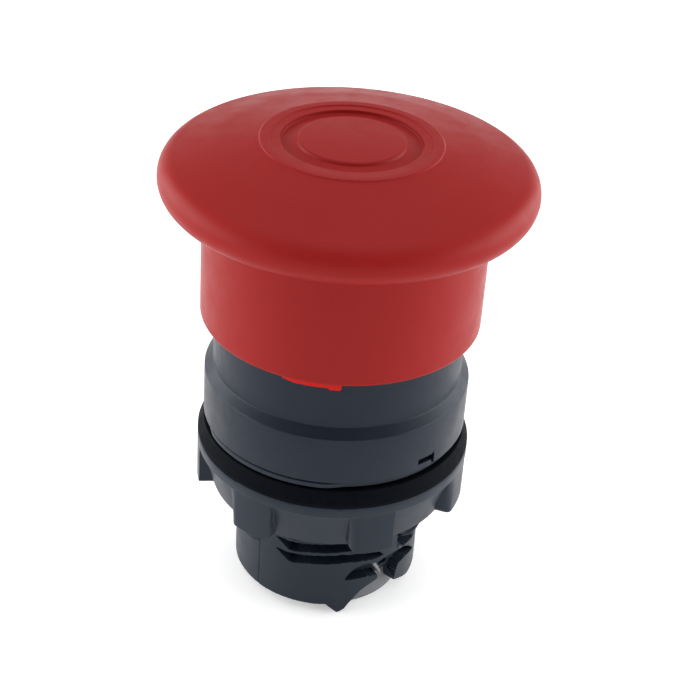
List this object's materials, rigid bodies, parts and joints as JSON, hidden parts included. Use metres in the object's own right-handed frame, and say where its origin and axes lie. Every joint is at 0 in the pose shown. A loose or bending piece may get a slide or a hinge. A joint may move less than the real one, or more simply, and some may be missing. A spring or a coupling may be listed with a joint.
{
  "type": "emergency stop button",
  "caption": "Panel-mount push-pull emergency stop operator: red mushroom cap on a dark collar, gasket, castellated fixing nut and threaded barrel with bayonet end.",
  "frame": {"origin": "on the axis, in the plane where the gasket meets the panel", "axes": "+Z along the axis towards the cap, -Y is the side seen in front, +X to its right"},
  "size_m": [0.04, 0.04, 0.0548],
  "materials": {
    "red_plastic": "satin moulded plastic, fine eroded texture",
    "bright_red_plastic": "satin moulded plastic",
    "dark_plastic": "satin glass-filled moulded plastic, dark blue grey",
    "nut_plastic": "satin glass-filled moulded plastic, dark grey",
    "natural_plastic": "natural acetal",
    "grey_plastic": "light grey moulded plastic",
    "black_rubber": "matt black rubber",
    "steel": "bright zinc plated or spring steel"
  },
  "bodies": {
    "housing": {"bezel_collar": "dark_plastic", "threaded_barrel": "dark_plastic", "panel_gasket": "black_rubber", "housing_oring": "black_rubber", "wiper_seal": "black_rubber", "seal_retainer": "dark_plastic", "latch_cage": "natural_plastic", "latch_pin_left": "steel", "latch_pin_right": "steel", "latch_ring_spring": "steel", "spring_retainer": "grey_plastic", "return_spring": "steel"},
    "button": {"mushroom_cap": "red_plastic", "cap_carrier": "bright_red_plastic", "carrier_screw": "steel", "screw_washer": "steel", "operating_stem": "natural_plastic", "contact_pusher": "natural_plastic"},
    "nut": {"fixing_nut": "nut_plastic"},
    "lever_left": {"latch_lever_left": "steel"},
    "lever_right": {"latch_lever_right": "steel"}
  },
  "joints": [
    {"name": "button_slide", "type": "slide", "parent": "housing", "child": "button", "axis": [0, 0, -1], "range_m": [0, 0.005], "deforming": ["return_spring"]},
    {"name": "latch_left_pivot", "type": "hinge", "parent": "housing", "child": "lever_left", "pos_m": [-0.0072, 0, 0.0025], "axis": [0, 1, 0], "range_deg": [0, 65.85]},
    {"name": "latch_right_pivot", "type": "hinge", "parent": "housing", "child": "lever_right", "pos_m": [0.0072, 0, 0.0025], "axis": [0, -1, 0], "range_deg": [0, 65.85]},
    {"name": "nut_turn", "type": "hinge", "parent": "housing", "child": "nut", "pos_m": [0, 0, 0], "axis": [0, 0, 1], "continuous": true}
  ],
  "couplings": [
    {"joint": "latch_left_pivot", "follows": "button_slide", "rad_per_m": 229.83},
    {"joint": "latch_right_pivot", "follows": "button_slide", "rad_per_m": 229.83}
  ]
}
